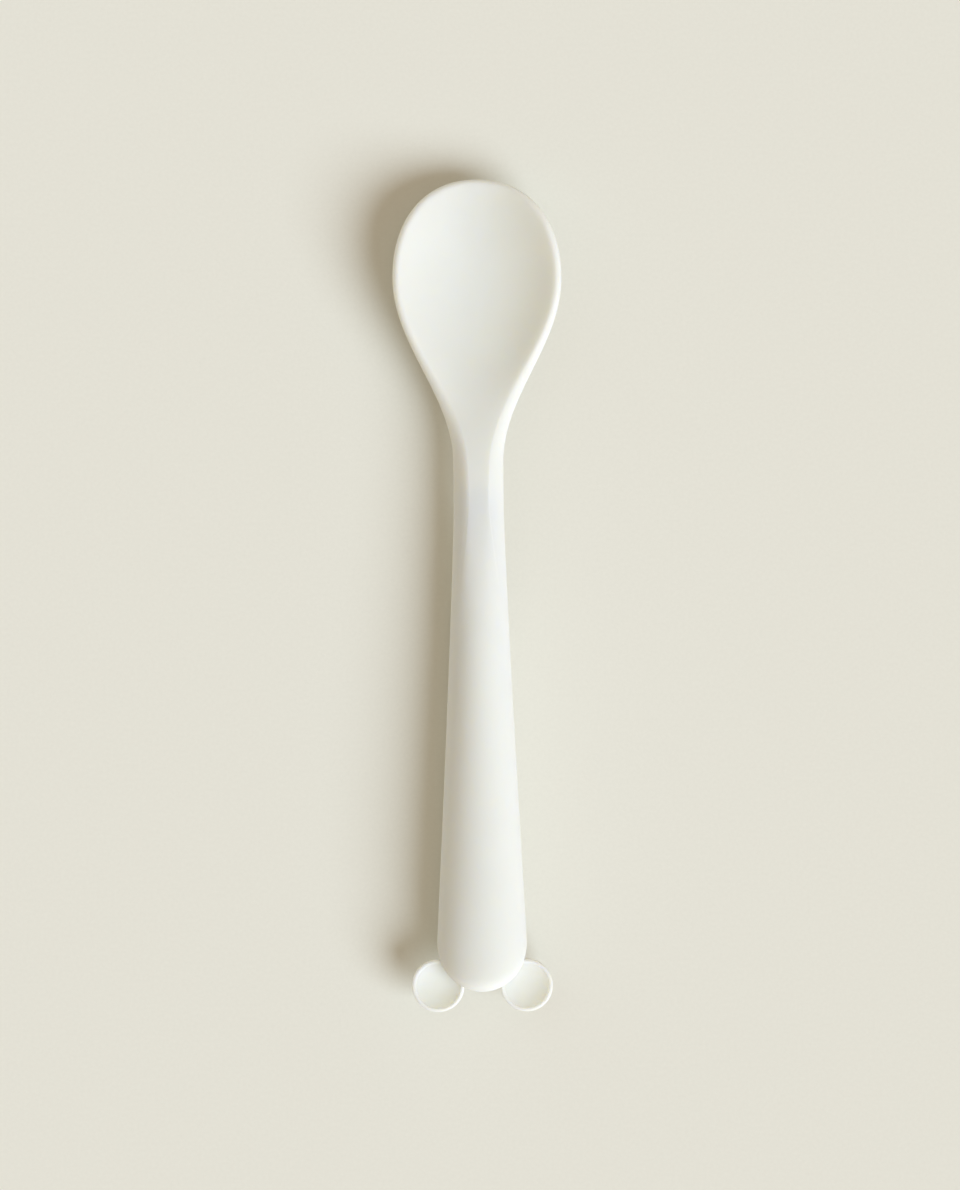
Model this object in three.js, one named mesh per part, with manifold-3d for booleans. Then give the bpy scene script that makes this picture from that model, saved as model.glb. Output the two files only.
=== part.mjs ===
// A baby's feeding spoon: one soft silicone moulding over a stiff nylon core.
// The moulding runs from a teardrop bowl through a slim neck into a handle that swells
// to a round end with two dished ears. The core lies inside the neck and the handle, and the
// silicone closes through its round windows, so that neither can slip along the other.
// Two silicone plugs fill the holes where pins held the core while the skin was moulded.
//
// Millimetres. The tip of the bowl points along +Y, +Z is up, and the origin is on the table
// under the middle of the spoon. A station is a distance from the tip along the spoon.

import * as THREE from 'three';
import { ParametricGeometry } from 'three/addons/geometries/ParametricGeometry.js';
import { mergeVertices } from 'three/addons/utils/BufferGeometryUtils.js';
import Module from 'manifold-3d';

// Bowl
const BOWL_WIDTH = 28.3;
const BOWL_LENGTH = 47.7; // from the tip to where the flanks have drawn in to the neck
const BOWL_WIDEST_AT = 16.9; // station of the widest section, and of the deepest point
const BOWL_FULLNESS = 2.15; // 2 makes the front half an ellipse, and more squares it up
const FLOOR_HEIGHT = 5.5; // of the hollow's floor above the table
const FLOOR_THICKNESS = 1.5;
const RAMP_START = 19.0; // station where the floor begins to climb to the neck
const RAMP_END = 51.0; // station where it has become the neck's top
const HOLLOW_DEPTH = 4.7; // from the floor up to the rim, at the widest section
const HOLLOW_END = 42.0; // station where the hollow has run out on the ramp
const HOLLOW_CURVE = 2.1; // power of the hollow's wall: more flattens the floor
const OUTSIDE_CURVE = 2.1; // the same for the bowl's outer wall
const OUTSIDE_EDGE = 0.75; // how the outer wall comes up to the rim: 0.5 makes it round
const RIM_THICKNESS = 1.7;
const RIM_SHOULDER = 0.6; // how softly the rim turns over into the hollow
const RIM_DROP = 4.0; // how much lower the rim lies at the tip
const DROP_CURVE = 3.5; // power of that drop: more keeps it closer to the tip

// Neck
const NECK_WIDTH = 8.4;
const NECK_LENGTH = 8.3;
const NECK_TOP = 9.7;
const NECK_THICKNESS = 5.2;
const NECK_EDGE = 2.6; // width of the slope along each side of the neck's top
const NECK_FLANK = 1.35; // shape of that slope: 1 makes it straight, and 2 a quarter round
const NECK_SIDE = 2.1; // from the neck's underside up to where it is widest

// Handle
const HANDLE_LENGTH = 72.3; // from the neck to the centre of the round end
const HANDLE_WIDTH = 15.1;
const HANDLE_HEIGHT = 13.0;
const HANDLE_FLARE = 1.15; // 1 makes the sides straight, and more makes them hollow
const HANDLE_RISE = 1.6; // 1 makes the top straight, and more makes it level out
const END_LENGTH = 8.1; // from the centre of the round end to its tip
const END_BLUNTNESS = 5.0; // 2 makes that end a dome, and more keeps its top level for longer
const ARCH_LENGTH = 28.0; // from the neck to where the back comes down on the table
const CROWN_LENGTH = 20.0; // from the neck to where the top is fully rounded
const BACK_FLAT = 0.5; // depth of the flat that the handle lies on

// Ears
const EAR_RADIUS = 4.4;
const EAR_SPREAD = 14.85; // between the centres of the two ears
const EAR_INSET = 0.8; // from the tip of the round end forward to the ears' centres
const EAR_BASE = 5.2;
const EAR_TOP = 7.8;
const EAR_RIM = 0.7;
const EAR_DISH = 1.2; // depth of the dish inside the ear's rim
const EAR_EDGE = 0.8; // radius of the ear's lower edge

// Core, its windows and the plugs
const CORE_COVER = 2.2; // silicone round the core's edge
const CORE_THICKNESS = 2.2;
const CORE_SETBACK = 4.0; // from the root of the bowl back to the core's front end
const CORE_BEVEL = 0.4;
const WINDOW_COUNT = 5;
const FIRST_WINDOW = 20.0; // from the neck to the first window's centre
const LAST_WINDOW = 8.3; // from the centre of the round end forward to the last window's
const WINDOW_RAIL = 1.6; // nylon left on each side of a window
const PIN_HOLE = 3.0; // diameter
const PLUG_RECESS = 0.2; // how far the plugs lie inside the flat back
const PLUG_CHAMFER = 0.3;
const CLEARANCE = 0.3; // between the silicone, the core and the plugs

// Steps of the faceted surfaces
const TIP_ROWS = 14;
const FLANK_ROWS = 15;
const STEM_ROWS = 21;
const END_ROWS = 8;
const SECTION_STEPS = 12; // from the centre line to the edge, on each side
const RIM_SHARE = 1 / 3; // share of those steps that go round the rim
const ROUND_STEPS = 28;
const EAR_STEPS = 4; // to each curve of the ear's profile
const CORE_STEPS = 8; // half the steps of each of the core's arcs
const MERGE_DISTANCE = 1e-4;

const RIGHT_ANGLE = Math.PI / 2;
const { clamp, lerp, smoothstep } = THREE.MathUtils;

const handleStart = BOWL_LENGTH + NECK_LENGTH;
const endCentre = handleStart + HANDLE_LENGTH;
const handleEnd = endCentre + END_LENGTH;
const earStation = handleEnd - EAR_INSET;
const overallLength = Math.max(handleEnd, earStation + EAR_RADIUS);
const neckUnder = NECK_TOP - NECK_THICKNESS;
const coreMiddle = NECK_TOP - NECK_THICKNESS / 2;
const coreUnder = coreMiddle - CORE_THICKNESS / 2;

const wasm = await Module();
wasm.setup();

// Place of a station along Y.
function along(station) {
  return overallLength / 2 - station;
}

// 0 at a station, 1 at a later one, and a cosine wave between them.
function wave(from, to, station) {
  return 0.5 - 0.5 * Math.cos(Math.PI * clamp((station - from) / (to - from), 0, 1));
}

// How far along the handle a station is: 0 at the neck and 1 at the centre of the round end.
function handleShare(station) {
  return clamp((station - handleStart) / HANDLE_LENGTH, 0, 1);
}

// Half the width in plan, from the bowl's widest section to the centre of the round end.
function halfWidth(station) {
  const stem = lerp(BOWL_WIDTH, NECK_WIDTH, wave(BOWL_WIDEST_AT, BOWL_LENGTH, station));
  const swelling = (HANDLE_WIDTH - NECK_WIDTH) * handleShare(station) ** HANDLE_FLARE;
  return (stem + swelling) / 2;
}

// Height of the top on the centre line: the hollow's floor, its ramp, the neck and the handle.
function floorHeight(station) {
  const ramp = lerp(FLOOR_HEIGHT, NECK_TOP, wave(RAMP_START, RAMP_END, station));
  const climb = 1 - (1 - handleShare(station)) ** HANDLE_RISE;
  return ramp + (HANDLE_HEIGHT - NECK_TOP) * climb;
}

// Height of the rim, which meets the floor where the hollow runs out.
function crestHeight(station) {
  return floorHeight(station) + HOLLOW_DEPTH * (1 - wave(BOWL_WIDEST_AT, HOLLOW_END, station));
}

// Height of the underside on the centre line: only the handle comes down to the table.
function underHeight(station) {
  const bowlUnder = FLOOR_HEIGHT - FLOOR_THICKNESS;
  const front = lerp(bowlUnder, neckUnder, wave(BOWL_WIDEST_AT, BOWL_LENGTH, station));
  return lerp(front, -BACK_FLAT, wave(handleStart, handleStart + ARCH_LENGTH, station));
}

// The outline's right half, with t from 0 at the tip to 1 at the end of the handle. Each point
// has a middle, the station on the centre line that its section runs to: the round front of
// the bowl and the round end of the handle fan out from one middle each.
function outline(t) {
  const flankStart = TIP_ROWS;
  const stemStart = flankStart + FLANK_ROWS;
  const endStart = stemStart + STEM_ROWS;
  const row = t * (endStart + END_ROWS);
  if (row < flankStart) {
    const angle = (row / TIP_ROWS) * RIGHT_ANGLE;
    const power = 2 / BOWL_FULLNESS;
    const x = (BOWL_WIDTH / 2) * Math.sin(angle) ** power;
    const station = BOWL_WIDEST_AT * (1 - Math.max(0, Math.cos(angle)) ** power);
    return { x, station, middle: BOWL_WIDEST_AT };
  }
  if (row > endStart) {
    const angle = ((row - endStart) / END_ROWS) * RIGHT_ANGLE;
    const x = (HANDLE_WIDTH / 2) * Math.cos(angle);
    return { x, station: endCentre + END_LENGTH * Math.sin(angle), middle: endCentre };
  }
  const station = row < stemStart
    ? lerp(BOWL_WIDEST_AT, BOWL_LENGTH, (row - flankStart) / FLANK_ROWS)
    : lerp(BOWL_LENGTH, endCentre, (row - stemStart) / STEM_ROWS);
  return { x: halfWidth(station), station, middle: station };
}

// How high the hollow's wall stands, as a share of its depth: q is 0 on the centre line and
// 1 on the crest of the rim, and shoulder is the part of the way in which it levels out there.
function wallRise(q, shoulder) {
  const inward = Math.hypot(1 - q, shoulder) - shoulder;
  const whole = Math.hypot(1, shoulder) - shoulder;
  return (1 - inward / whole) ** HOLLOW_CURVE;
}

// Heights and widths of one section, which its upper and lower halves share.
function sectionAt(point) {
  const { x, station, middle } = point;
  const tipDrop = RIM_DROP * Math.max(0, 1 - station / BOWL_WIDEST_AT) ** DROP_CURVE;
  const crest = crestHeight(middle) - tipDrop;
  const under = underHeight(middle);
  const thickened = smoothstep(middle, BOWL_WIDEST_AT, handleStart);
  const drawnIn = wave(BOWL_WIDEST_AT, handleStart, middle);
  const crowned = smoothstep(middle, RAMP_END, handleStart + CROWN_LENGTH);
  const sideLevel = lerp(under + NECK_SIDE, (crest + under) / 2, crowned);
  const endShare = Math.max(0, station - endCentre) / END_LENGTH;
  return {
    reach: Math.hypot(x, station - middle),
    crest,
    under,
    floor: floorHeight(middle),
    edge: lerp(crest - RIM_THICKNESS / 2, sideLevel, thickened),
    rim: lerp(RIM_THICKNESS / 2, NECK_EDGE, drawnIn),
    flank: 2 / lerp(2, NECK_FLANK, drawnIn),
    crowned,
    rounded: smoothstep(middle, HOLLOW_END, handleStart + CROWN_LENGTH),
    blunt: 2 / lerp(2, END_BLUNTNESS, endShare),
  };
}

// Upper half of a section, with w from 0 on the centre line to 1 at the edge. In the bowl it is
// a hollow and a rounded rim, which turn into the neck's flat top and sloping flank, and then
// into the handle's half ellipse, which squares up at the blunt end.
function upperSide(section, w) {
  const { reach, crest, floor, edge, rim, flank, crowned, blunt } = section;
  const inside = reach - rim;
  const rimStart = 1 - RIM_SHARE;
  const turn = Math.max(0, (w - rimStart) / RIM_SHARE) * RIGHT_ANGLE;
  const q = Math.sin(Math.min(1, w / rimStart) * RIGHT_ANGLE);
  const wall = floor + (crest - floor) * wallRise(q, RIM_SHOULDER / inside);
  const slope = edge + (crest - edge) * Math.max(0, Math.cos(turn)) ** flank;
  const hollowOut = inside * q + rim * Math.sin(turn) ** flank;
  const hollowHeight = w < rimStart ? wall : slope;
  const domeOut = reach * Math.sin(w * RIGHT_ANGLE) ** blunt;
  const domeHeight = edge + (crest - edge) * Math.max(0, Math.cos(w * RIGHT_ANGLE)) ** blunt;
  return { out: lerp(hollowOut, domeOut, crowned), z: lerp(hollowHeight, domeHeight, crowned) };
}

// Lower half of a section: the bowl's outer wall follows its hollow at an even thickness, and
// the handle's back is the other half of its ellipse.
function lowerSide(section, w) {
  const { reach, edge, under, rounded } = section;
  const q = Math.sin(w * RIGHT_ANGLE);
  const curve = lerp(OUTSIDE_CURVE, 2, rounded);
  const drop = Math.max(0, 1 - q ** curve) ** lerp(OUTSIDE_EDGE, 0.5, rounded);
  return { out: reach * q, z: edge - (edge - under) * drop };
}

// A point of the moulding: u goes once round the outline from the tip, and v over a section,
// from the centre line on top, out to the edge and back to the centre line underneath.
function skinPoint(u, v, target) {
  const side = u < 0.5 ? 1 : -1;
  const point = outline(1 - Math.abs(1 - 2 * u));
  const section = sectionAt(point);
  const w = 1 - Math.abs(1 - 2 * v);
  const { out, z } = v < 0.5 ? upperSide(section, w) : lowerSide(section, w);
  const share = out / section.reach;
  target.set(side * point.x * share, along(lerp(point.middle, point.station, share)), z);
}

// A closed geometry as a solid: shared vertices are merged and collapsed triangles dropped.
function solid(geometry) {
  const bare = geometry.clone();
  bare.deleteAttribute('normal');
  bare.deleteAttribute('uv');
  const merged = mergeVertices(bare, MERGE_DISTANCE);
  const corners = merged.index.array;
  const triVerts = [];
  for (let i = 0; i < corners.length; i += 3) {
    const [a, b, c] = corners.slice(i, i + 3);
    if (a !== b && b !== c && c !== a) {
      triVerts.push(a, b, c);
    }
  }
  return new wasm.Manifold(new wasm.Mesh({
    numProp: 3,
    vertProperties: new Float32Array(merged.attributes.position.array),
    triVerts: new Uint32Array(triVerts),
  }));
}

function geometryOf(body) {
  const { vertProperties, triVerts } = body.getMesh();
  const geometry = new THREE.BufferGeometry();
  geometry.setAttribute('position', new THREE.BufferAttribute(vertProperties, 3));
  geometry.setIndex(new THREE.BufferAttribute(triVerts, 1));
  geometry.computeVertexNormals();
  return geometry;
}

// A revolved profile that stands on Z.
function turned(profile) {
  return new THREE.LatheGeometry(profile, ROUND_STEPS).rotateX(RIGHT_ANGLE);
}

// Ear: a thick disc with a rounded rim round a shallow dish.
function earGeometry() {
  const rimRadius = EAR_RIM / 2;
  const dishRadius = EAR_RADIUS - EAR_RIM;
  const dishFloor = EAR_TOP - EAR_DISH;
  const profile = new THREE.Path();
  profile.moveTo(0, EAR_BASE);
  profile.lineTo(EAR_RADIUS - EAR_EDGE, EAR_BASE);
  profile.absarc(EAR_RADIUS - EAR_EDGE, EAR_BASE + EAR_EDGE, EAR_EDGE, -RIGHT_ANGLE, 0);
  profile.absarc(EAR_RADIUS - rimRadius, EAR_TOP - rimRadius, rimRadius, 0, 2 * RIGHT_ANGLE);
  profile.quadraticCurveTo(dishRadius / 2, dishFloor, 0, dishFloor);
  return turned(profile.getPoints(EAR_STEPS));
}

// Core: a flat bar whose outline keeps an even cover of silicone, with a row of round windows.
// Grown by the clearance, it is the room that the moulding leaves for it.
function coreGeometry(grow) {
  const half = (station) => halfWidth(station) - CORE_COVER + grow;
  const noseCentre = BOWL_LENGTH + CORE_SETBACK + NECK_WIDTH / 2 - CORE_COVER;
  const shape = new THREE.Shape();
  shape.absarc(0, along(noseCentre), half(noseCentre), 0, 2 * RIGHT_ANGLE);
  for (let step = 1; step < STEM_ROWS; step += 1) {
    const station = lerp(noseCentre, endCentre, step / STEM_ROWS);
    shape.lineTo(-half(station), along(station));
  }
  const endReach = END_LENGTH - CORE_COVER + grow;
  shape.absellipse(0, along(endCentre), half(endCentre), endReach, 2 * RIGHT_ANGLE, 4 * RIGHT_ANGLE);
  for (let step = STEM_ROWS - 1; step > 0; step -= 1) {
    const station = lerp(noseCentre, endCentre, step / STEM_ROWS);
    shape.lineTo(half(station), along(station));
  }
  for (let index = 0; index < WINDOW_COUNT; index += 1) {
    const station = windowStation(index);
    const radius = halfWidth(station) - CORE_COVER - WINDOW_RAIL - grow;
    const edge = new THREE.Path().absarc(0, along(station), radius, 0, 4 * RIGHT_ANGLE);
    shape.holes.push(edge);
  }
  const thickness = CORE_THICKNESS + 2 * grow;
  const bar = new THREE.ExtrudeGeometry(shape, {
    depth: thickness - 2 * CORE_BEVEL,
    bevelThickness: CORE_BEVEL,
    bevelSize: CORE_BEVEL,
    bevelOffset: -CORE_BEVEL,
    bevelSegments: 1,
    curveSegments: CORE_STEPS,
  });
  return bar.translate(0, 0, coreMiddle - thickness / 2 + CORE_BEVEL);
}

// Stations of the windows, spread evenly over the handle. Half an index lies between two.
function windowStation(index) {
  const first = handleStart + FIRST_WINDOW;
  const last = endCentre - LAST_WINDOW;
  return lerp(first, last, index / (WINDOW_COUNT - 1));
}

// Plug: a short cylinder, chamfered at both ends, that lies just inside the flat back.
function plugGeometry() {
  const radius = PIN_HOLE / 2 - CLEARANCE;
  const top = coreUnder - CLEARANCE;
  return turned([
    new THREE.Vector2(0, PLUG_RECESS),
    new THREE.Vector2(radius - PLUG_CHAMFER, PLUG_RECESS),
    new THREE.Vector2(radius, PLUG_RECESS + PLUG_CHAMFER),
    new THREE.Vector2(radius, top - PLUG_CHAMFER),
    new THREE.Vector2(radius - PLUG_CHAMFER, top),
    new THREE.Vector2(0, top),
  ]);
}

// The pins bore on the core between the first two windows and between the last two.
const plugs = [
  { name: 'front_pin_plug', y: along(windowStation(0.5)) },
  { name: 'rear_pin_plug', y: along(windowStation(WINDOW_COUNT - 1.5)) },
];

// Silicone moulding: the lofted spoon and its ears, cut flat where it rests, less the room for
// the core and the pin holes that lead to it from the back.
function mouldingGeometry() {
  const rows = 2 * (TIP_ROWS + FLANK_ROWS + STEM_ROWS + END_ROWS);
  let body = solid(new ParametricGeometry(skinPoint, rows, 2 * SECTION_STEPS));
  for (const side of [-1, 1]) {
    const ear = earGeometry().translate((side * EAR_SPREAD) / 2, along(earStation), 0);
    body = body.add(solid(ear));
  }
  const table = new THREE.BoxGeometry(2 * BOWL_WIDTH, 2 * overallLength, HANDLE_HEIGHT);
  body = body.subtract(solid(table.translate(0, 0, -HANDLE_HEIGHT / 2)));
  body = body.subtract(solid(coreGeometry(CLEARANCE)));
  const holeTop = coreUnder - CLEARANCE / 2;
  for (const plug of plugs) {
    const hole = new THREE.CylinderGeometry(PIN_HOLE / 2, PIN_HOLE / 2, 2 * holeTop, ROUND_STEPS);
    body = body.subtract(solid(hole.rotateX(RIGHT_ANGLE).translate(0, plug.y, 0)));
  }
  return geometryOf(body);
}

const silicone = new THREE.MeshStandardMaterial({ color: 0xebece6, roughness: 0.7, metalness: 0 });
const nylon = new THREE.MeshStandardMaterial({ color: 0xe4e0d2, roughness: 0.45, metalness: 0 });

function named(name, geometry, material) {
  const mesh = new THREE.Mesh(geometry, material);
  mesh.name = name;
  return mesh;
}

const spoon = new THREE.Group();
spoon.name = 'spoon';
spoon.add(named('silicone_body', mouldingGeometry(), silicone));
spoon.add(named('stiffening_core', coreGeometry(0), nylon));
for (const { name, y } of plugs) {
  const plug = named(name, plugGeometry(), silicone);
  plug.position.y = y;
  spoon.add(plug);
}

export default spoon;
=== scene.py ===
# %% [markdown]
# # A soft feeding spoon
# This lesson dresses a baby's feeding spoon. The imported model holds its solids: a silicone
# moulding, the stiff nylon core inside it, and two small plugs in its back. They load as a
# fixed frame in metres, with the tip of the bowl along +Y, +Z up and the table at zero. Every
# piece made below is put on that frame, so nothing has to be fitted by eye.

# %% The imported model
import math

import bmesh
import bpy
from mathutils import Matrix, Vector


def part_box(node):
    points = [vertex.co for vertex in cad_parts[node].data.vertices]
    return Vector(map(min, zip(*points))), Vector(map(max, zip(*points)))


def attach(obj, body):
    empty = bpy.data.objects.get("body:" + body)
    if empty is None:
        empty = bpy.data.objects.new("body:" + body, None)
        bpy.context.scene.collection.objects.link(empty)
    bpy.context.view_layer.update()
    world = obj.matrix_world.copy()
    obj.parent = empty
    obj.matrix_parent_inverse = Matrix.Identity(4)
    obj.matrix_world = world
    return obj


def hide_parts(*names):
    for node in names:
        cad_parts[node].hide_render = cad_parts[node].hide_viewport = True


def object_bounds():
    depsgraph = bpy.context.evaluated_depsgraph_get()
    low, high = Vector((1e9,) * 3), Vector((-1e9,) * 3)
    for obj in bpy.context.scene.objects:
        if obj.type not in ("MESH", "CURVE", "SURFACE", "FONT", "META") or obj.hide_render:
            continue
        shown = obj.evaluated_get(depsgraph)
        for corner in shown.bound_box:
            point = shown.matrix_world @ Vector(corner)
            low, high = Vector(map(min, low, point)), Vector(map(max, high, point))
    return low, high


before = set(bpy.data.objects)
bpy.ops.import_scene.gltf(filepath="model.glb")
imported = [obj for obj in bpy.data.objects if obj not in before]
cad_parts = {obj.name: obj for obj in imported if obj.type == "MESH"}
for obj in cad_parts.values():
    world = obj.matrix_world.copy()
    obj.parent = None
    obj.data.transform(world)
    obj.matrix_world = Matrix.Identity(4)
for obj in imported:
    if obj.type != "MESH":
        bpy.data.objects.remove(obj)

MM = 0.001
solid_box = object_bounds()
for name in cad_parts:
    low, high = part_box(name)
    print(name, "is", [round(side / MM, 2) for side in high - low], "mm")

# %% [markdown]
# ## The camera
# The photograph looks straight down on the spoon, from far enough that the handle's thick end
# looks no nearer than the bowl. A long lens does the same. The picture's height on the spoon is
# known, so the distance follows from the lens and the sensor, and a small roll gives the slight
# lean that the spoon has in the picture.

# %% Camera
PICTURE_HEIGHT = 200.6 * MM  # how much of the table the picture shows from top to bottom
MIDDLE_HEIGHT = 5.0 * MM  # the level at which that is measured
SIDE_STEP = 0.1 * MM  # how far the picture's middle lies to the right of the spoon's axis
LENS, SENSOR = 120.0, 36.0  # focal length and the sensor's longer side, in millimetres
LEAN = math.radians(0.44)

scene = bpy.context.scene
camera = bpy.data.objects.new("camera", bpy.data.cameras.new("camera"))
camera.data.lens = LENS
camera.data.sensor_width = SENSOR
distance = PICTURE_HEIGHT * LENS / SENSOR
camera.location = (SIDE_STEP, 0.0, MIDDLE_HEIGHT + distance)
camera.rotation_euler = (0.0, 0.0, -LEAN)
scene.collection.objects.link(camera)
scene.camera = camera
scene.view_settings.view_transform = "Standard"
print("camera", round(distance, 3), "m above the spoon")

# %% [markdown]
# ## Two helpers for finishes
# Colours are written as they look on a screen, in hex, and Blender's shaders reckon in linear
# light, so one function turns one into the other. A second adds a node, sets its properties and
# sockets, and links the sockets that are given another node's output. Patterns are sized from
# real millimetres: a texture's scale is the number of its features in a metre.

# %% Colour and node helpers
def linear(hex_colour):
    """An sRGB hex colour as linear RGBA."""
    shades = [int(hex_colour[i:i + 2], 16) / 255 for i in (1, 3, 5)]
    return [s / 12.92 if s <= 0.04045 else ((s + 0.055) / 1.055) ** 2.4 for s in shades] + [1.0]


def add_node(tree, kind, sockets=None, **settings):
    """Add a node: settings are its properties, and sockets are values or outputs to link."""
    node = tree.nodes.new(kind)
    for name, value in settings.items():
        setattr(node, name, value)
    for socket, value in (sockets or {}).items():
        if isinstance(value, bpy.types.NodeSocket):
            tree.links.new(value, node.inputs[socket])
        else:
            node.inputs[socket].default_value = value
    return node


def new_tree(owner):
    """The empty node tree of a material or a world."""
    owner.use_nodes = True
    owner.node_tree.nodes.clear()
    return owner.node_tree


def features(size_mm):
    """A texture's scale for features of this size."""
    return 1 / (size_mm * MM)


BACKDROP = "#E5E3D7"
print("backdrop in linear light:", [round(shade, 3) for shade in linear(BACKDROP)[:3]])

# %% [markdown]
# ## The light
# The shadow lies up and to the left of the spoon with a wide soft edge, so the main light is one
# large window at the lower right. A weaker and wider lamp stands for what a pale wall on the upper
# left sends back. Sun lamps with wide discs light the whole table evenly: each has a height above
# the table, a direction round it, a width, a colour and a strength.

# %% Window and wall
def soft_sun(name, height, direction, across, colour, energy):
    """A wide sun lamp, with its angles in degrees: direction 0 is the right and 90 the top."""
    lamp = bpy.data.objects.new(name, bpy.data.lights.new(name, "SUN"))
    up, turn = math.radians(height), math.radians(direction)
    towards = Vector((math.cos(up) * math.cos(turn), math.cos(up) * math.sin(turn), math.sin(up)))
    lamp.rotation_euler = towards.to_track_quat("Z", "Y").to_euler()
    lamp.data.angle = math.radians(across)
    lamp.data.color = linear(colour)[:3]
    lamp.data.energy = energy
    scene.collection.objects.link(lamp)
    return lamp


window = soft_sun("window", height=41.0, direction=-41.0, across=40.0,
                  colour="#E1EFFF", energy=3.12)
wall = soft_sun("wall", height=45.0, direction=135.0, across=70.0,
                colour="#C2F1FF", energy=0.41)
print("lamps:", [lamp.name for lamp in (window, wall)])

# %% [markdown]
# ## The room
# The shaded sides are warm and still bright, which is light from all round the room: the world
# gives it. Rays that come straight from the camera, or by way of a gloss or a clear surface, see
# the pale backdrop instead, which adds no light to the spoon.

# %% Room
WARM_FILL, FILL_STRENGTH = "#FFE1C0", 0.444

room = bpy.data.worlds.new("room")
scene.world = room
tree = new_tree(room)
ray = add_node(tree, "ShaderNodeLightPath")
looking = add_node(tree, "ShaderNodeMath", {
    0: ray.outputs["Is Camera Ray"], 1: ray.outputs["Is Glossy Ray"]}, operation="MAXIMUM")
looking = add_node(tree, "ShaderNodeMath", {
    0: looking.outputs[0], 1: ray.outputs["Is Transmission Ray"]}, operation="MAXIMUM")
fill = add_node(tree, "ShaderNodeBackground", {
    "Color": linear(WARM_FILL), "Strength": FILL_STRENGTH})
backdrop = add_node(tree, "ShaderNodeBackground", {"Color": linear(BACKDROP), "Strength": 1.0})
seen = add_node(tree, "ShaderNodeMixShader", {
    0: looking.outputs[0], 1: fill.outputs[0], 2: backdrop.outputs[0]})
add_node(tree, "ShaderNodeOutputWorld", {"Surface": seen.outputs[0]})
print("world:", scene.world.name)

# %% [markdown]
# ## The table
# The spoon lies on a sheet of heavy, uncoated paper in a warm off-white. Such paper is matt, and
# its fibres give it a faint mottle. One large flat face is enough, because the sheet runs out of
# the picture on all sides, and a noise texture gives the fibres their colour and their relief.

# %% Paper sheet
def new_piece(name, bm, material):
    """A finished mesh as an object at the origin, smooth shaded, with its material."""
    mesh = bpy.data.meshes.new(name)
    bm.to_mesh(mesh)
    bm.free()
    mesh.shade_smooth()
    mesh.materials.append(material)
    piece = bpy.data.objects.new(name, mesh)
    scene.collection.objects.link(piece)
    return piece


def uncoated_paper():
    """Uncoated paper, pressed and left matt: no gloss, with a mottle of fibres."""
    material = bpy.data.materials.new("uncoated_paper")
    tree = new_tree(material)
    place = add_node(tree, "ShaderNodeTexCoord")
    # Real fibres are about 0.05 mm wide, too fine to show, so the mottle is drawn at 0.6 mm.
    fibres = add_node(tree, "ShaderNodeTexNoise", {
        "Vector": place.outputs["Object"], "Scale": features(0.6), "Detail": 3.0})
    colour = add_node(tree, "ShaderNodeMix", {
        0: fibres.outputs[0], 6: linear("#E2E0D4"), 7: linear("#E8E6DA")}, data_type="RGBA")
    relief = add_node(tree, "ShaderNodeBump", {
        "Height": fibres.outputs[0], "Strength": 0.15, "Distance": 0.05 * MM})
    shader = add_node(tree, "ShaderNodeBsdfPrincipled", {
        "Base Color": colour.outputs[2], "Roughness": 0.95, "Specular IOR Level": 0.1,
        "Normal": relief.outputs[0]})
    add_node(tree, "ShaderNodeOutputMaterial", {"Surface": shader.outputs[0]})
    return material


SHEET_REACH = 2.0  # metres from the spoon to each side of the sheet
SHEET_GAP = 0.01 * MM  # keeps the sheet's face out of the plane of the spoon's flat back
bm = bmesh.new()
bmesh.ops.create_grid(bm, x_segments=1, y_segments=1, size=SHEET_REACH)
bmesh.ops.translate(bm, verts=bm.verts, vec=(0, 0, -SHEET_GAP))
sheet = new_piece("paper_sheet", bm, uncoated_paper())
print("paper sheet", round(sheet.dimensions.x, 1), "m wide")

# %% [markdown]
# ## Silicone
# The spoon is food-grade silicone rubber, moulded hot in a blasted steel mould. The rubber is
# milky: light goes in a little way and comes out beside, so shaded sides look soft. The blasted
# mould leaves a matt skin with a broad, weak shine. A principled shader has all of this: the
# index of silicone is 1.41, subsurface gives the milkiness, and two noise textures give the skin
# its fine grain and the rubber its faint clouds.

# %% Silicone finish
MILKINESS, SCATTER = 1.0, 2.5  # share of the light that goes in, and how many mm it spreads
GLOSS = 0.3  # 0.5 is a smooth skin's shine, and the blasting takes part of it away
MATT_LEAST, MATT_MOST = 0.8, 0.92  # the roughness changes a little with the grain
SPREAD_BY_COLOUR = (1.0, 0.9, 0.7)  # red light spreads further in the rubber than blue


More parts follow.
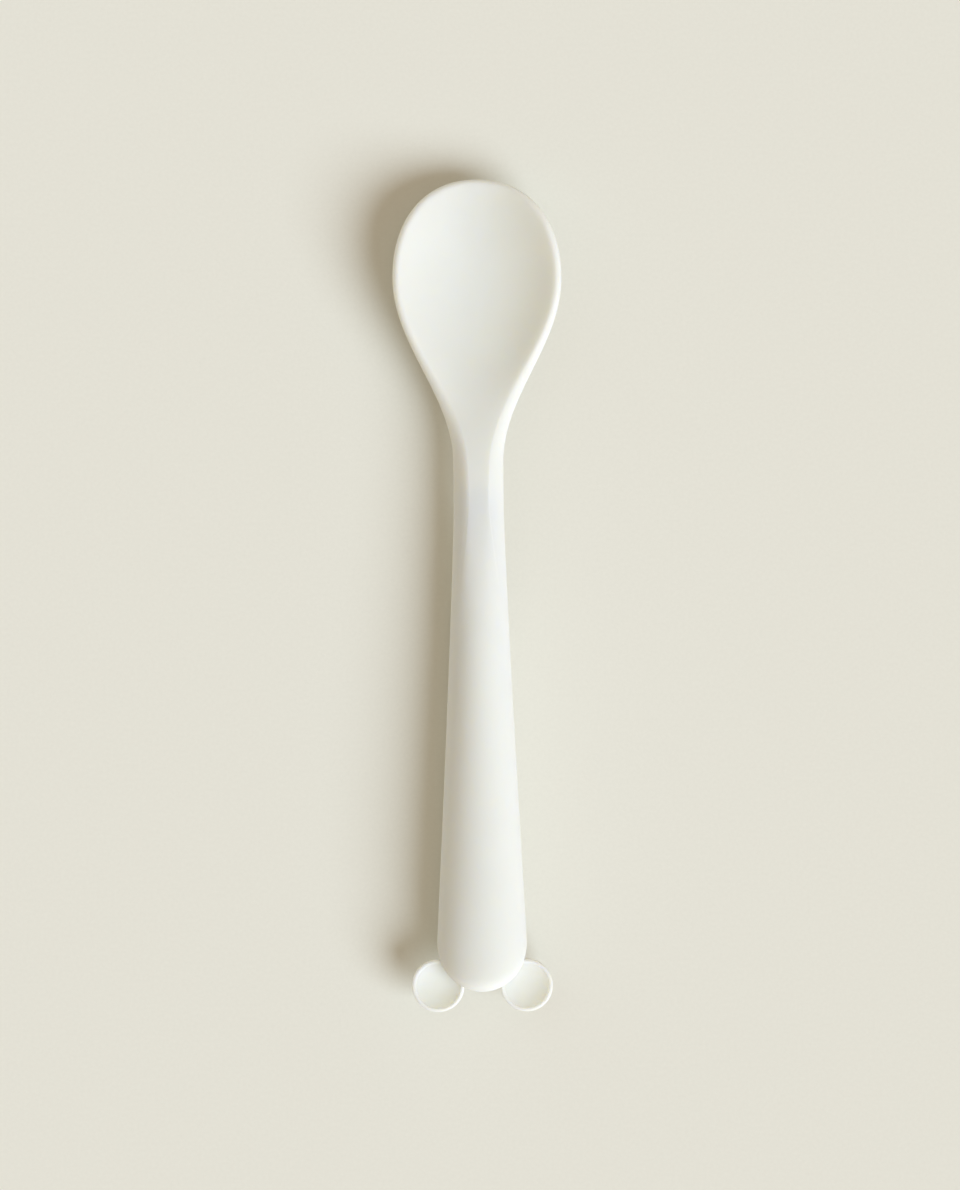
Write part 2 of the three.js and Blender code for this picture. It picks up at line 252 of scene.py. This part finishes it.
def moulded_silicone():
    """Milky silicone rubber, matt from its mould: soft in shade, with a weak broad shine."""
    material = bpy.data.materials.new("moulded_silicone")
    tree = new_tree(material)
    place = add_node(tree, "ShaderNodeTexCoord")
    clouds = add_node(tree, "ShaderNodeTexNoise", {
        "Vector": place.outputs["Object"], "Scale": features(9.0), "Detail": 2.0})
    # The mould's grit was about 0.1 mm, too fine to show, so the grain is drawn at 0.35 mm.
    grain = add_node(tree, "ShaderNodeTexNoise", {
        "Vector": place.outputs["Object"], "Scale": features(0.35), "Detail": 2.0})
    colour = add_node(tree, "ShaderNodeMix", {
        0: clouds.outputs[0], 6: linear("#E3E4DE"), 7: linear("#E6E7E1")}, data_type="RGBA")
    matt = add_node(tree, "ShaderNodeMapRange", {
        "Value": grain.outputs[0], "To Min": MATT_LEAST, "To Max": MATT_MOST})
    relief = add_node(tree, "ShaderNodeBump", {
        "Height": grain.outputs[0], "Strength": 0.1, "Distance": 0.03 * MM})
    shader = add_node(tree, "ShaderNodeBsdfPrincipled", {
        "Base Color": colour.outputs[2], "Roughness": matt.outputs[0], "IOR": 1.41,
        "Specular IOR Level": GLOSS, "Subsurface Weight": MILKINESS,
        "Subsurface Radius": SPREAD_BY_COLOUR, "Subsurface Scale": SCATTER * MM,
        "Normal": relief.outputs[0]})
    add_node(tree, "ShaderNodeOutputMaterial", {"Surface": shader.outputs[0]})
    return material


silicone = moulded_silicone()
print("finish:", silicone.name)

# %% [markdown]
# ## The spoon's lines
# A spoon is lofted from a few lines along its length: half its width, the height of its top, of
# its underside and of the floor of its hollow. Each is a function of the station, the distance
# from the tip in millimetres. Cosine waves join the bowl to the neck without a corner, and a
# power curve swells the handle towards its end.

# %% Lines along the spoon
# All of these are in millimetres, apart from the two powers that shape the handle.
BOWL_WIDTH, BOWL_LENGTH, WIDEST_AT = 28.3, 47.7, 16.9
BOWL_FLOOR, HOLLOW_DEPTH, FLOOR_THICKNESS = 5.5, 4.7, 1.5
THROAT_AT, RAMP_START, RAMP_END = 42.0, 19.0, 51.0
NECK_WIDTH, NECK_LENGTH, NECK_TOP, NECK_UNDER = 8.4, 8.3, 9.7, 4.5
HANDLE_LENGTH, HANDLE_WIDTH, HANDLE_HEIGHT = 72.3, 15.1, 13.0
HANDLE_FLARE, HANDLE_RISE = 1.15, 1.6  # powers: of its widening and of its climb
ARCH_LENGTH = 28.0  # over this length the underside comes down to the table
BACK_FLAT = 0.5  # how far it is drawn through the table, to be cut off flat
HANDLE_START = BOWL_LENGTH + NECK_LENGTH
END_CENTRE = HANDLE_START + HANDLE_LENGTH
TIP_Y = solid_box[1].y / MM


def lerp(a, b, share):
    """The value that lies this share of the way from a to b."""
    return a + (b - a) * share


def part_way(start, end, station):
    """0 up to start, 1 from end on, and a straight line between them."""
    return min(1.0, max(0.0, (station - start) / (end - start)))


def wave(start, end, station):
    """The same with a cosine wave between them."""
    return 0.5 - 0.5 * math.cos(math.pi * part_way(start, end, station))


def flare(station):
    """0 at the neck and 1 at the centre of the round end."""
    return max(0.0, (station - HANDLE_START) / HANDLE_LENGTH) ** HANDLE_FLARE


def rise(station):
    """The same for the handle's top, which climbs from the neck and levels out."""
    return 1 - (1 - part_way(HANDLE_START, END_CENTRE, station)) ** HANDLE_RISE


def half_width(station):
    stem = lerp(BOWL_WIDTH, NECK_WIDTH, wave(WIDEST_AT, BOWL_LENGTH, station))
    return (stem + (HANDLE_WIDTH - NECK_WIDTH) * flare(station)) / 2


def floor_height(station):
    ramp = lerp(BOWL_FLOOR, NECK_TOP, wave(RAMP_START, RAMP_END, station))
    return ramp + (HANDLE_HEIGHT - NECK_TOP) * rise(station)


def top_height(station):
    return floor_height(station) + HOLLOW_DEPTH * (1 - wave(WIDEST_AT, THROAT_AT, station))


def under_height(station):
    bowl = BOWL_FLOOR - FLOOR_THICKNESS
    arched = lerp(bowl, NECK_UNDER, wave(WIDEST_AT, BOWL_LENGTH, station))
    return lerp(arched, -BACK_FLAT, wave(HANDLE_START, HANDLE_START + ARCH_LENGTH, station))


for station in (WIDEST_AT, BOWL_LENGTH, END_CENTRE):
    print("station", station, "half width", round(half_width(station), 2),
          "top", round(top_height(station), 2), "under", round(under_height(station), 2))

# %% [markdown]
# ## The outline
# Seen from above, the spoon's edge is one closed line. It is drawn as a ring of points that starts
# at the tip and goes round by the right side. Each point also gets a middle, the place on the
# centre line that its section runs to: along the spoon that is straight across, and at the two
# round ends the sections fan out from one middle each, like the ribs of a shell.

# %% Edge of the spoon, seen from above
BOWL_FULLNESS = 2.15  # 2 makes the front an ellipse, and more squares it up
END_LENGTH, END_BLUNTNESS = 8.1, 7.0  # more bluntness makes the end's wall steeper
TIP_ROWS, FLANK_ROWS, STEM_ROWS, END_ROWS = 30, 30, 40, 20
HALF_ROWS = TIP_ROWS + FLANK_ROWS + STEM_ROWS + END_ROWS


def edge_point(row):
    """Side-ways reach, station and middle of a point of the right half's outline."""
    if row <= TIP_ROWS:
        angle = row / TIP_ROWS * math.pi / 2
        power = 2 / BOWL_FULLNESS
        station = WIDEST_AT * (1 - max(0.0, math.cos(angle)) ** power)
        return BOWL_WIDTH / 2 * math.sin(angle) ** power, station, WIDEST_AT
    row -= TIP_ROWS
    if row <= FLANK_ROWS:
        station = lerp(WIDEST_AT, BOWL_LENGTH, row / FLANK_ROWS)
        return half_width(station), station, station
    row -= FLANK_ROWS
    if row <= STEM_ROWS:
        station = lerp(BOWL_LENGTH, END_CENTRE, row / STEM_ROWS)
        return half_width(station), station, station
    angle = (row - STEM_ROWS) / END_ROWS * math.pi / 2
    station = END_CENTRE + END_LENGTH * math.sin(angle)
    return HANDLE_WIDTH / 2 * math.cos(angle), station, END_CENTRE


print("outline of", 2 * HALF_ROWS, "points, widest", 2 * edge_point(TIP_ROWS)[0], "mm")

# %% [markdown]
# ## The upper side of a section
# Every section is made of an upper and a lower side that meet at the edge. In the bowl the upper
# side is a hollow with a rolled rim. On the neck it is a flat top between two sloping flanks, and
# from there it turns into the handle's arch, a half ellipse. At the round end the arch runs on
# unchanged, and a steep cap closes it. The parameter w runs from 0 on the centre line to 1 at the
# edge. The rim is small and round, so it gets a good share of the steps to itself.

# %% Upper side of a section
RIM_THICKNESS, RIM_SHOULDER = 1.7, 0.35  # a wider shoulder turns more softly into the hollow
HOLLOW_CURVE = 2.1  # 2 makes the hollow a parabola, and more flattens its floor
NECK_EDGE, NECK_FLANK = 2.6, 1.35  # the neck's flanks: their width, and a power, 2 if round
CROWN_LENGTH = 20.0  # over this length of the handle the flat top turns into the arch
RIM_SHARE = 0.4  # share of a section's steps that go round the rim
QUARTER = math.pi / 2


def smoothstep(start, end, station):
    """0 up to start, 1 from end on, and a smooth step between them."""
    share = part_way(start, end, station)
    return share * share * (3 - 2 * share)


def wall_rise(across, shoulder):
    """Height of the hollow's wall as a share of its depth, levelling out on the rim."""
    inward = math.hypot(1 - across, shoulder) - shoulder
    return (1 - inward / (math.hypot(1, shoulder) - shoulder)) ** HOLLOW_CURVE


def upper_side(reach, crest, edge, middle, end_share, w):
    """Distance from the middle and height of a point of the upper side."""
    drawn_in = wave(WIDEST_AT, HANDLE_START, middle)
    rim = lerp(RIM_THICKNESS / 2, NECK_EDGE, drawn_in)
    flank = 2 / lerp(2.0, NECK_FLANK, drawn_in)
    crowned = smoothstep(RAMP_END, HANDLE_START + CROWN_LENGTH, middle)
    inside, floor = reach - rim, floor_height(middle)
    across = math.sin(min(1.0, w / (1 - RIM_SHARE)) * QUARTER)
    turn = max(0.0, (w - 1 + RIM_SHARE) / RIM_SHARE) * QUARTER
    hollow = floor + (crest - floor) * wall_rise(across, RIM_SHOULDER / inside)
    if turn > 0:
        hollow = edge + (crest - edge) * max(0.0, math.cos(turn)) ** flank
    share = math.sin(w * QUARTER)
    arch = math.sqrt(max(0.0, 1 - share ** 2 * (1 - end_share ** 2)))
    cap = max(0.0, 1 - share ** END_BLUNTNESS) ** (end_share ** 2 / END_BLUNTNESS)
    dome = edge + (crest - edge) * arch * cap
    out = lerp(inside * across + rim * math.sin(turn) ** flank, reach * share, crowned)
    return out, lerp(hollow, dome, crowned)


widest_top = top_height(WIDEST_AT)
widest_edge = widest_top - RIM_THICKNESS / 2
for w in (0.0, 1 - RIM_SHARE, 1.0):
    place = upper_side(BOWL_WIDTH / 2, widest_top, widest_edge, WIDEST_AT, 0.0, w)
    print("upper side of the widest section at w", w, [round(c, 2) for c in place], "mm")

# %% [markdown]
# ## The lower side of a section
# Under the bowl the lower side is its outer wall, which runs along below the hollow. From the
# throat on it turns into the other half of the handle's ellipse. Two curves would need a join, so
# both are one curve with two powers that change along the spoon: 2 and a half make an ellipse.

# %% Lower side of a section
OUTSIDE_CURVE, OUTSIDE_EDGE = 2.1, 0.75


def lower_side(reach, under, edge, middle, w):
    """Distance from the middle and height of a point of the lower side."""
    crowned = smoothstep(THROAT_AT, HANDLE_START + CROWN_LENGTH, middle)
    across = math.sin(w * QUARTER)
    drop = max(0.0, 1 - across ** lerp(OUTSIDE_CURVE, 2, crowned))
    drop = drop ** lerp(OUTSIDE_EDGE, 0.5, crowned)
    return reach * across, edge - (edge - under) * drop


for w in (0.0, 0.5, 1.0):
    place = lower_side(BOWL_WIDTH / 2, under_height(WIDEST_AT), widest_edge, WIDEST_AT, w)
    print("lower side of the widest section at w", w, [round(c, 2) for c in place], "mm")

# %% [markdown]
# ## A point of the skin
# The lines, the outline and the two sides come together in one function: it takes a row of the
# outline, a side and w, and gives a place in metres. The rim dips towards the tip. Along the neck
# the edge, where the two sides meet, sinks from the rim to the middle of the handle's side.

# %% Point of the skin
RIM_DROP, DROP_CURVE = 4.0, 3.5  # the rim's dip at the tip, and a power that keeps it near there
NECK_SIDE = 2.1  # height of the edge above the neck's underside


def skin_point(row, upper, w):
    """A point of the skin, in metres."""
    side = 1 if row <= HALF_ROWS else -1
    x, station, middle = edge_point(min(row, 2 * HALF_ROWS - row))
    reach = math.hypot(x, station - middle)
    crest = top_height(middle) - RIM_DROP * max(0.0, 1 - station / WIDEST_AT) ** DROP_CURVE
    under = under_height(middle)
    thickened = smoothstep(WIDEST_AT, HANDLE_START, middle)
    crowned = smoothstep(RAMP_END, HANDLE_START + CROWN_LENGTH, middle)
    side_level = lerp(under + NECK_SIDE, (crest + under) / 2, crowned)
    edge = lerp(crest - RIM_THICKNESS / 2, side_level, thickened)
    if upper:
        end_share = max(0.0, station - END_CENTRE) / END_LENGTH
        out, z = upper_side(reach, crest, edge, middle, end_share, w)
    else:
        out, z = lower_side(reach, under, edge, middle, w)
    share = out / reach
    return Vector((side * x * share, TIP_Y - lerp(middle, station, share), z)) * MM


for row in (0, TIP_ROWS, HALF_ROWS):
    print("edge at row", row, [round(c / MM, 2) for c in skin_point(row, True, 1.0)], "mm")

# %% [markdown]
# ## Drawing the skin in from its edge
# A circle is pulled out into the spoon's outline. Its ring of edges is then extruded again and
# again, each new ring moved one step further over the section, until the last ring closes on the
# centre line. That is done once over the top and once underneath, so the two halves share the
# edge and the skin is closed. An integer on each vertex remembers its row of the outline.

# %% Skin of the spoon
UPPER_STEPS, LOWER_STEPS = 30, 24
WELD = 0.001 * MM  # points closer together than this become one

bm = bmesh.new()
row_of = bm.verts.layers.int.new("row")
circle = bmesh.ops.create_circle(bm, segments=2 * HALF_ROWS, radius=1.0)["verts"]
for row, vert in enumerate(circle):
    vert[row_of] = row
    vert.co = skin_point(row, True, 1.0)
edge_ring = bm.edges[:]

for upper, steps in ((True, UPPER_STEPS), (False, LOWER_STEPS)):
    ring = edge_ring
    for step in range(steps - 1, -1, -1):
        grown = bmesh.ops.extrude_edge_only(bm, edges=ring)["geom"]
        verts = {part for part in grown if isinstance(part, bmesh.types.BMVert)}
        ring = [part for part in grown
                if isinstance(part, bmesh.types.BMEdge) and verts.issuperset(part.verts)]
        for vert in verts:
            vert.co = skin_point(vert[row_of], upper, step / steps)

bmesh.ops.remove_doubles(bm, verts=bm.verts, dist=WELD)
bmesh.ops.recalc_face_normals(bm, faces=bm.faces)
print("skin of", len(bm.faces), "faces, closed:", all(e.is_manifold for e in bm.edges))

# %% [markdown]
# ## Where the spoon rests
# The spoon lies on a narrow flat along the handle's back, and its neck and bowl stay clear of the
# table. The skin was drawn a little way through the table, so a plane cuts it off there, and the
# opening that it leaves is filled.

# %% Flat back
bmesh.ops.bisect_plane(bm, geom=bm.verts[:] + bm.edges[:] + bm.faces[:],
                       plane_co=(0, 0, 0), plane_no=(0, 0, 1), clear_inner=True)
cut = [edge for edge in bm.edges if edge.is_boundary]
flats = bmesh.ops.holes_fill(bm, edges=cut)["faces"]
print("flats:", [round(face.calc_area() / MM ** 2, 1) for face in flats], "square mm")
moulding = new_piece("silicone_moulding", bm, silicone)

# %% [markdown]
# ## The ears
# Two round ears sit at the corners of the handle's end. Each is a thick disc with a thin rounded
# rim round a shallow dish. That is a turned shape, so half of its profile is drawn with a few
# extrusions and small spins, and one full spin about the ear's axis makes the solid.

# %% Ear profile and spin
EAR_RADIUS, EAR_SPREAD, EAR_INSET = 4.4, 14.85, 0.8
EAR_BASE, EAR_TOP, EAR_RIM, EAR_DISH, EAR_EDGE = 5.2, 7.8, 0.7, 1.2, 0.8
EAR_Y = TIP_Y - (END_CENTRE + END_LENGTH - EAR_INSET)
EAR_TURNS, EDGE_STEPS, RIM_STEPS, DISH_STEPS = 72, 8, 12, 12


def spin_on(bm, vert, centre, angle, steps):
    """Carry a profile on from a vertex, round a centre in the XZ plane. The new end."""
    made = bmesh.ops.spin(bm, geom=[vert], cent=Vector(centre) * MM, axis=(0, 1, 0),
                          dvec=(0, 0, 0), angle=angle, steps=steps)
    return next(part for part in made["geom_last"] if isinstance(part, bmesh.types.BMVert))


def run_to(bm, vert, place):
    """Carry a profile on from a vertex, straight to a place. The new end."""
    made = bmesh.ops.extrude_vert_indiv(bm, verts=[vert])
    made["verts"][0].co = Vector(place) * MM
    return made["verts"][0]


def ear(x):
    """One ear as a closed bmesh, standing on its place."""
    bm = bmesh.new()
    inner = EAR_RADIUS - EAR_RIM
    end = bm.verts.new(Vector((0, 0, EAR_BASE)) * MM)
    end = run_to(bm, end, (EAR_RADIUS - EAR_EDGE, 0, EAR_BASE))
    end = spin_on(bm, end, (EAR_RADIUS - EAR_EDGE, 0, EAR_BASE + EAR_EDGE), -QUARTER, EDGE_STEPS)
    end = run_to(bm, end, (EAR_RADIUS, 0, EAR_TOP - EAR_RIM / 2))
    end = spin_on(bm, end, (EAR_RADIUS - EAR_RIM / 2, 0, EAR_TOP - EAR_RIM / 2),
                  -2 * QUARTER, RIM_STEPS)
    depth = EAR_DISH - EAR_RIM / 2
    dish_radius = (inner ** 2 + depth ** 2) / (2 * depth)  # of a ball that fits the dish
    spin_on(bm, end, (0, 0, EAR_TOP - EAR_RIM / 2 - depth + dish_radius),
            math.asin(inner / dish_radius), DISH_STEPS)
    bmesh.ops.spin(bm, geom=bm.verts[:] + bm.edges[:], cent=(0, 0, 0), axis=(0, 0, 1),
                   dvec=(0, 0, 0), angle=4 * QUARTER, steps=EAR_TURNS, use_merge=True)
    bmesh.ops.remove_doubles(bm, verts=bm.verts, dist=WELD)
    bmesh.ops.recalc_face_normals(bm, faces=bm.faces)
    bmesh.ops.translate(bm, verts=bm.verts, vec=Vector((x, EAR_Y, 0)) * MM)
    return bm


ears = [new_piece(f"ear_{name}", ear(side * EAR_SPREAD / 2), silicone)
        for name, side in (("left", -1), ("right", 1))]
print("ears at y", round(EAR_Y, 2), "mm,", [len(piece.data.polygons) for piece in ears], "faces")

# %% [markdown]
# ## One moulding
# On the real spoon the ears, the handle and the bowl leave the mould as one piece, with a crisp
# valley where the dome of the handle meets an ear. A Boolean joins them in the same way. The
# modifier's result is taken as the new mesh, and the ears that went into it are removed.

# %% Joining the ears
def combine(piece, other, operation):
    """Join another closed piece to this one, or cut it out, and remove it."""
    step = piece.modifiers.new(operation.lower(), "BOOLEAN")
    step.operation = operation
    step.solver = "EXACT"
    step.object = other
    shaped = piece.evaluated_get(bpy.context.evaluated_depsgraph_get())
    mesh = bpy.data.meshes.new_from_object(shaped)
    piece.modifiers.clear()
    piece.data = mesh
    bpy.data.objects.remove(other)


for piece in ears:
    combine(moulding, piece, "UNION")
print("moulding of", len(moulding.data.polygons), "faces")

# %% [markdown]
# ## Room for the core
# The rubber was moulded round a stiff nylon core, which lies in the middle of the neck and the
# handle. Its CAD solid has the right shape and stays. A copy of its mesh, grown by the small gap
# that keeps the two apart, is cut out of the moulding, so the rubber still closes through the
# core's round windows.

# %% Room for the core
CLEARANCE = 0.3
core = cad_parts["stiffening_core"]
bm = bmesh.new()
bm.from_mesh(core.data)
bm.transform(core.matrix_world)
bmesh.ops.remove_doubles(bm, verts=bm.verts, dist=WELD)
bmesh.ops.recalc_face_normals(bm, faces=bm.faces)
bm.normal_update()
# All places are worked out before a vertex moves, because each depends on its neighbours.
grown = [vert.co + vert.normal * vert.calc_shell_factor() * CLEARANCE * MM for vert in bm.verts]
for vert, place in zip(bm.verts, grown):
    vert.co = place
combine(moulding, new_piece("core_room", bm, silicone), "DIFFERENCE")
print("moulding with the core's room:", len(moulding.data.polygons), "faces")

# %% [markdown]
# ## Pin plugs
# While the skin was moulded, two pins held the core in the middle of the mould. Silicone plugs
# fill their holes afterwards, flush in the flat back. Each is a short cylinder with a small
# rounded chamfer: a cone with two equal radii makes the one, and a bevel of its rims the other.

# %% Plugs and their holes
PLUG_SIDES, PLUG_CHAMFER, CHAMFER_STEPS = 48, 0.3, 3


def plug(node, grow, deeper):
    """The cylinder in a plug's box, grown all round and made deeper at both ends."""
    low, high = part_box(node)
    bm = bmesh.new()
    radius = (high.x - low.x) / 2 + grow * MM
    height = high.z - low.z + 2 * deeper * MM
    bmesh.ops.create_cone(bm, cap_ends=True, segments=PLUG_SIDES, radius1=radius,
                          radius2=radius, depth=height)
    bmesh.ops.translate(bm, verts=bm.verts, vec=(low + high) / 2)
    return bm


for node in ("front_pin_plug", "rear_pin_plug"):
    combine(moulding, new_piece("hole", plug(node, CLEARANCE, CLEARANCE), silicone), "DIFFERENCE")
    bm = plug(node, 0.0, 0.0)
    rims = [edge for edge in bm.edges if any(len(face.verts) > 4 for face in edge.link_faces)]
    bmesh.ops.bevel(bm, geom=rims, offset=PLUG_CHAMFER * MM, offset_type="OFFSET",
                    segments=CHAMFER_STEPS, profile=0.5, affect="EDGES", material=-1)
    piece = new_piece(node.replace("_pin", "_silicone"), bm, silicone)
    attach(piece, "root")
    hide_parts(node)
    print(piece.name, [round(side / MM, 2) for side in piece.dimensions], "mm")

# %% [markdown]
# ## Creases
# Smooth shading makes the facets vanish, and it would also smear the light across a real corner.
# So the edges that turn sharply are marked: the valley at each ear, the border of the flat back,
# the pin holes and, inside, the corners of the core's room.

# %% Marking the creases
CREASE = math.radians(35.0)


def mark_creases(piece):
    """Mark the edges that turn by more than CREASE, and print what the mesh is like."""
    bm = bmesh.new()
    bm.from_mesh(piece.data)
    bmesh.ops.remove_doubles(bm, verts=bm.verts, dist=WELD)
    sharp = [edge for edge in bm.edges if edge.calc_face_angle(0.0) > CREASE]
    for edge in sharp:
        edge.smooth = False
    closed = all(edge.is_manifold for edge in bm.edges)
    bm.to_mesh(piece.data)
    bm.free()
    print(piece.name, "has", len(sharp), "sharp edges, closed:", closed)


mark_creases(moulding)
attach(moulding, "root")
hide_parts("silicone_body")

# %% [markdown]
# ## The core
# The core is hidden in the moulding. It is natural nylon, moulded matt, and its CAD solid has the
# right shape, so it stays and only gets a finish.

# %% Nylon finish
def moulded_nylon():
    """Natural nylon, moulded: a waxy cream with a matt shine and faint flow marks."""
    material = bpy.data.materials.new("moulded_nylon")
    tree = new_tree(material)
    place = add_node(tree, "ShaderNodeTexCoord")
    flow = add_node(tree, "ShaderNodeTexNoise", {
        "Vector": place.outputs["Object"], "Scale": features(4.0), "Detail": 3.0})
    colour = add_node(tree, "ShaderNodeMix", {
        0: flow.outputs[0], 6: linear("#DDD8C8"), 7: linear("#E6E2D5")}, data_type="RGBA")
    shader = add_node(tree, "ShaderNodeBsdfPrincipled", {
        "Base Color": colour.outputs[2], "Roughness": 0.45, "IOR": 1.53})
    add_node(tree, "ShaderNodeOutputMaterial", {"Surface": shader.outputs[0]})
    return material


core.material_slots[0].material = moulded_nylon()
print("core finish:", core.material_slots[0].material.name)
